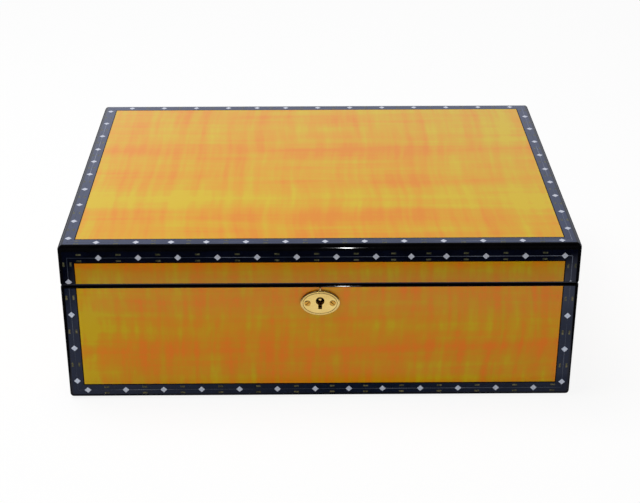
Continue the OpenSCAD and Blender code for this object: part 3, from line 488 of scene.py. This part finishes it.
# The rest: core pieces by the end of their names, and brass
CORES = ("wall", "rail", "top_panel", "bottom_panel")
for name, node in nodes.items():
    finish = FINISH.get(name) or (core if name.endswith(CORES) else metal)
    node.data.materials.clear()
    node.data.materials.append(finish)


# Edges of the CAD nodes

WELD, ROUND_STEPS = 0.002 * MM, 2
ROUND_ANGLE, SPLIT_ANGLE = math.radians(40), math.radians(35)


def soften(width, *names):
    """Joins the faces of CAD nodes into smooth solids and rounds their sharp edges by width."""
    for name in names:
        node = nodes[name]
        node.data.attributes.remove(node.data.attributes["custom_normal"])
        node.data.shade_smooth()
        weld = node.modifiers.new("weld", "WELD")
        weld.merge_threshold = WELD
        if width:
            bevel = node.modifiers.new("bevel", "BEVEL")
            bevel.width = width
            bevel.segments = ROUND_STEPS
            bevel.limit_method = "ANGLE"
            bevel.angle_limit = ROUND_ANGLE
            normals = node.modifiers.new("normals", "WEIGHTED_NORMAL")
            normals.mode = "FACE_AREA_WITH_ANGLE"
        else:
            split = node.modifiers.new("split", "EDGE_SPLIT")
            split.split_angle = SPLIT_ANGLE


soften(0.0, "base_edging", "lid_edging")
soften(0.15 * MM, "keyhole_plate", "keyhole_plate_screws", "base_screws", "lid_screws", "strike_plate",
       "lock_case")
soften(0.2 * MM, "hinge_base_leaves", "hinge_lid_leaves", "humidifier_grille")
soften(0.35 * MM, "hygrometer_bezel", "humidifier_case")
soften(0.5 * MM, "lining_front", "lining_back", "lining_left", "lining_right", "lid_lining_strips",
       "tray_runners", "tray_sides", "tray_bottom", "tray_divider")


# Hairlines between the lozenges

def islands(node):
    """Lowest and highest corner of each separate solid of a CAD node."""
    owner, parent = {}, []

    def root(i):
        while parent[i] != i:
            parent[i] = parent[parent[i]]
            i = parent[i]
        return i

    mesh = node.data
    keys = [tuple(round(c / MM, 3) for c in v.co) for v in mesh.vertices]
    for key in keys:
        if key not in owner:
            owner[key] = len(parent)
            parent.append(len(parent))
    for face in mesh.polygons:
        first = root(owner[keys[face.vertices[0]]])
        for i in face.vertices[1:]:
            parent[root(owner[keys[i]])] = first
    groups = {}
    for vertex, key in zip(mesh.vertices, keys):
        groups.setdefault(root(owner[key]), []).append(vertex.co)
    return [(Vector(map(min, *g)), Vector(map(max, *g))) for g in groups.values()]


def add_mesh(name, verts, faces, material, body):
    """A mesh piece that rides on a body."""
    mesh = bpy.data.meshes.new(name)
    mesh.from_pydata(verts, [], faces)
    mesh.materials.append(material)
    piece = bpy.data.objects.new(name, mesh)
    bpy.context.scene.collection.objects.link(piece)
    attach(piece, body)


BLOCK_FACES = ((3, 2, 1, 0), (4, 5, 6, 7), (0, 1, 5, 4), (1, 2, 6, 5), (2, 3, 7, 6), (3, 0, 4, 7))


def add_block(verts, faces, outline, low, high):
    """Adds a block of four upright edges between two heights to lists of vertices and faces."""
    start = len(verts)
    verts += [(x, y, z) for z in (low, high) for x, y in outline]
    faces += [[start + i for i in face] for face in BLOCK_FACES]


LINE_W, LINE_T, LEAST_LINE, SAME_FACE = 0.36 * MM, 0.02 * MM, 0.4 * MM, 0.01 * MM


def hairlines(name, body, lozenge_node, paths):
    """Thin inlaid lines along paths of (normal axis, side, points), broken at each lozenge they meet."""
    marks = islands(nodes[lozenge_node])
    verts, faces = [], []
    for axis, side, points in paths:
        face = side * {X: BOX_W / 2, Y: BOX_D / 2, Z: BOX_H}[axis]
        here = [m for m in marks if min(abs(corner[axis] - face) for corner in m) < SAME_FACE]
        for a, b in zip(points, points[1:]):
            run = max((X, Y, Z), key=lambda i: abs(b[i] - a[i]))
            other = X + Y + Z - axis - run
            start, end = sorted((a[run], b[run]))
            gaps = sorted((lo[run], hi[run]) for lo, hi in here if lo[other] < a[other] < hi[other])
            for gap_start, gap_end in gaps + [(end, end)]:
                if gap_start - start > LEAST_LINE:
                    low, high = [0.0] * 3, [0.0] * 3
                    low[run], high[run] = start, gap_start
                    low[other], high[other] = a[other] - LINE_W / 2, a[other] + LINE_W / 2
                    low[axis], high[axis] = sorted((face, face + side * LINE_T))
                    outline = [(low[X], low[Y]), (high[X], low[Y]), (high[X], high[Y]), (low[X], high[Y])]
                    add_block(verts, faces, outline, low[Z], high[Z])
                start = max(start, gap_end)
    add_mesh(name, verts, faces, silver, body)


LINE_X, LINE_Y = BOX_W / 2 - MARK_INSET, BOX_D / 2 - MARK_INSET
FOOT_Z, LID_Z = FELT + MARK_INSET, BOX_H - LID_MARK_DROP


def side_path(axis, side, z_far, z_turn):
    """Centre line of the bands of one side: an upright band, the level one and the other upright one."""
    reach = LINE_X if axis == Y else LINE_Y
    flat = [(-reach, z_far), (-reach, z_turn), (reach, z_turn), (reach, z_far)]
    return axis, side, [(p, 0.0, z) if axis == Y else (0.0, p, z) for p, z in flat]


SIDES = ((Y, -1), (Y, 1), (X, -1), (X, 1))
TOP_CORNERS = [(x * LINE_X, y * LINE_Y, 0.0) for x, y in ((-1, -1), (1, -1), (1, 1), (-1, 1), (-1, -1))]
base_paths = [side_path(axis, side, BASE_HIGH, FOOT_Z) for axis, side in SIDES]
lid_paths = [side_path(axis, side, LID_LOW, LID_Z) for axis, side in SIDES]
hairlines("base_hairlines", "box", "base_lozenges", base_paths)
hairlines("lid_hairlines", "lid", "lid_lozenges", lid_paths + [(Z, 1, TOP_CORNERS)])


# Scale of the hygrometer

SCALE_TURN = math.radians(240)
SCALE_TOP, NUMBER_STEP, LONG_STEP, SHORT_STEP = 100, 20, 10, 2
TICK_OUT, LONG_IN, SHORT_IN, NUMBER_R = 22.8 * MM, 20.2 * MM, 21.5 * MM, 16.8 * MM
LONG_W, SHORT_W, NUMBER_H, INK_T = 0.5 * MM, 0.24 * MM, 3.9 * MM, 0.02 * MM


def number_mesh(value):
    """Flat mesh of a number, centred on the origin and facing +Z."""
    curve = bpy.data.curves.new("number", "FONT")
    curve.body = str(value)
    curve.size = NUMBER_H
    curve.align_x, curve.align_y = "CENTER", "CENTER"
    curve.extrude = INK_T / 2
    holder = bpy.data.objects.new("number", curve)
    mesh = bpy.data.meshes.new_from_object(holder)
    bpy.data.objects.remove(holder)
    bpy.data.curves.remove(curve)
    return mesh


def dial_marks():
    """Ticks and numbers printed on the lower face of the dial, upright when the lid is open."""
    verts, faces = [], []
    for value in range(0, SCALE_TOP + 1, SHORT_STEP):
        angle = (value / SCALE_TOP - 0.5) * SCALE_TURN
        sine, cosine = math.sin(angle), math.cos(angle)
        inner, width = (LONG_IN, LONG_W) if value % LONG_STEP == 0 else (SHORT_IN, SHORT_W)
        half = width / 2
        ends = ((inner, -half), (TICK_OUT, -half), (TICK_OUT, half), (inner, half))
        outline = [(DIAL_X + r * sine + t * cosine, DIAL_Y - r * cosine + t * sine) for r, t in ends]
        add_block(verts, faces, outline, DIAL_Z - INK_T, DIAL_Z)
        if value % NUMBER_STEP == 0:
            mesh = number_mesh(value)
            start = len(verts)
            x, y, z = DIAL_X + NUMBER_R * sine, DIAL_Y - NUMBER_R * cosine, DIAL_Z - INK_T / 2
            verts += [(x + v.co.x, y - v.co.y, z - v.co.z) for v in mesh.vertices]
            faces += [[start + i for i in p.vertices] for p in mesh.polygons]
            bpy.data.meshes.remove(mesh)
    add_mesh("dial_marks", verts, faces, print_ink, "lid")


dial_marks()


# Camera

IMAGE_W, IMAGE_H = 640, 503
# In pixels: focal length, and the image row that the camera points at
FOCAL, AIM_ROW = 1402.0, 225.0
CAMERA_PLACE = (-8.78 * MM, -932.28 * MM, 525.33 * MM)
CAMERA_YAW, CAMERA_PITCH = 0.01079, 0.4547
SENSOR_W = 36.0
NEAREST, FURTHEST = 0.05, 50.0


def add_camera():
    """Camera fitted to the box's corners in the photograph."""
    data = bpy.data.cameras.new("camera")
    data.sensor_width = SENSOR_W
    data.lens = FOCAL / IMAGE_W * SENSOR_W
    data.shift_y = (AIM_ROW - IMAGE_H / 2) / IMAGE_W
    data.clip_start, data.clip_end = NEAREST, FURTHEST
    camera = bpy.data.objects.new("camera", data)
    camera.location = CAMERA_PLACE
    camera.rotation_euler = Euler((math.pi / 2 - CAMERA_PITCH, 0.0, -CAMERA_YAW))
    bpy.context.scene.collection.objects.link(camera)
    bpy.context.scene.camera = camera


# Floor and surroundings

FLOOR_HALF, FLOOR_Z = 4.0, -0.2 * MM
# How much of the floor's look is plain white, and how bright its darkest zone is in reflections
WHITE_SHARE, DARKEST = 0.90, 0.02
# Right of the box: where the dark zones start to bend forward, and where the dark side starts
BEND_X, DARK_X = BOX_W / 2 + 15 * MM, BOX_W / 2 + 25 * MM
BEND_SLOPE = 0.5
# Middle of the painted shadow at the foot, which only reflections see
FOOT_X = 30 * MM
# The floor and the wall as reflections see them, and the light from all round
MIRROR_TINT, WALL_TINT, AMBIENT = (0.95, 1.02, 1.40), (1.48, 1.54, 1.78), (0.32, 0.32, 0.32)
WHITE, BLACK = (1.0, 1.0, 1.0), (0.0, 0.0, 0.0)


def add_floor():
    """Plain pale floor, white with a soft shadow; reflections in the lacquer see darker zones of it.

    ahead and beside are how far a point lies in front of the box and out to its sides.
    """
    s = Shader("floor", roughness=0.9, specular_ior_level=0.0, base_color=(0.94, 0.94, 0.94, 1))
    place = s.position()
    bend = s.math("MAXIMUM", s.math("SUBTRACT", place[X], BEND_X), 0.0)
    ahead = s.math("MULTIPLY_ADD", bend, -BEND_SLOPE, s.math("SUBTRACT", -BOX_D / 2, place[Y]))
    right, left = s.math("SUBTRACT", place[X], DARK_X), s.math("SUBTRACT", -BOX_W / 2, place[X])
    beside = s.math("MAXIMUM", right, left)
    off_middle = s.math("ABSOLUTE", s.math("SUBTRACT", place[X], FOOT_X))
    painted_foot_shadow = s.math("MULTIPLY", s.ramp(off_middle, [(0.02, 0.95), (0.18, 0.5)]),
                       s.ramp(ahead, [(0.022, 1.0), (0.04, 0.0)]))
    # Its first stops paint a contact shadow right at the foot, seen only in reflections
    front_zone = s.ramp(ahead, [(0.003, 1.0), (0.006, 0.4), (0.10, 0.4), (0.13, 0.0),
                                (0.165, 0.0), (0.20, 1.0)])
    side_zone = s.ramp(beside, [(0.0, 0.0), (0.03, 1.0)])
    dark = s.math("MAXIMUM", s.math("MAXIMUM", side_zone, front_zone), painted_foot_shadow)
    glossy = s.node("ShaderNodeLightPath").outputs["Is Glossy Ray"]
    mirrored = s.math("MULTIPLY", glossy, dark)
    strength = s.math("MULTIPLY_ADD", mirrored, DARKEST - 1, 1.0)
    tint = s.mix(glossy, WHITE, MIRROR_TINT)
    share = s.math("MULTIPLY", s.seen(), s.math("MULTIPLY_ADD", mirrored, 1 - WHITE_SHARE, WHITE_SHARE))
    s.blend(share, s.node("ShaderNodeEmission", {"Color": tint, "Strength": strength}))

    mesh = bpy.data.meshes.new("floor")
    corners = [(x * FLOOR_HALF, y * FLOOR_HALF, FLOOR_Z) for x, y in ((-1, -1), (1, -1), (1, 1), (-1, 1))]
    mesh.from_pydata(corners, [], [(0, 1, 2, 3)])
    mesh.materials.append(s.material)
    floor = bpy.data.objects.new("floor", mesh)
    bpy.context.scene.collection.objects.link(floor)


def add_world():
    """Even soft light; reflections see a pale wall, darker overhead, in front and at the sides."""
    world = bpy.data.worlds.new("studio")
    bpy.context.scene.world = world
    world.use_nodes = True
    s = Tree(world.node_tree)
    x, y, z = s.split(s.coordinate("Generated"))
    overhead = s.ramp(z, [(0.30, 1.0), (0.60, 0.45), (0.78, 0.05)])
    front = s.ramp(y, [(0.0, 0.05), (0.35, 1.0)])
    sides = s.ramp(s.math("ADD", x, 0.5), [(0.20, 0.50), (0.31, 1.0), (0.42, 0.75), (0.56, 0.70),
                                           (0.68, 0.70), (0.80, 0.40)])
    wall = s.math("MULTIPLY", s.math("MULTIPLY", overhead, front), sides)
    glossy = s.node("ShaderNodeLightPath").outputs["Is Glossy Ray"]
    mirrored = s.mix(glossy, WHITE, s.mix(wall, BLACK, WALL_TINT))
    s.feed(s.tree.nodes["Background"].inputs["Color"], s.mix(s.seen(), AMBIENT, mirrored))


# Lamps

LAMP_AIM = (0.0, 0.0, 0.1)
KEY_PLACE, KEY_SIZE, KEY_POWER = (-0.40, 0.05, 1.40), (1.0, 1.0), 17.0
STREAK_PLACE = (0.061, -1.60, 0.48)
STREAKS = (("highlight", (0.028, 0.50), 2.2), ("highlight_tails", (0.080, 0.24), 0.40))


def add_lamp(name, place, size, power):
    """Oval area lamp of a width and a length, aimed at the box."""
    data = bpy.data.lights.new(name, "AREA")
    data.shape = "ELLIPSE"
    data.size, data.size_y = size
    data.energy = power
    lamp = bpy.data.objects.new(name, data)
    lamp.location = place
    lamp.rotation_euler = (Vector(LAMP_AIM) - Vector(place)).to_track_quat("-Z", "Y").to_euler()
    bpy.context.scene.collection.objects.link(lamp)
    return lamp


def add_lamps():
    """A soft key lamp, and two that only draw the highlight on the rounded pieces in front."""
    add_lamp("soft_key", KEY_PLACE, KEY_SIZE, KEY_POWER).visible_glossy = False
    rounded = bpy.data.collections.new("rounded")
    for name in ("lid_edging", "base_edging", "keyhole_plate"):
        rounded.objects.link(nodes[name])
    for name, size, power in STREAKS:
        lamp = add_lamp(name, STREAK_PLACE, size, power)
        lamp.visible_diffuse = False
        lamp.light_linking.receiver_collection = rounded


add_camera()
add_floor()
add_world()
add_lamps()
bpy.context.scene.view_settings.view_transform = "Standard"
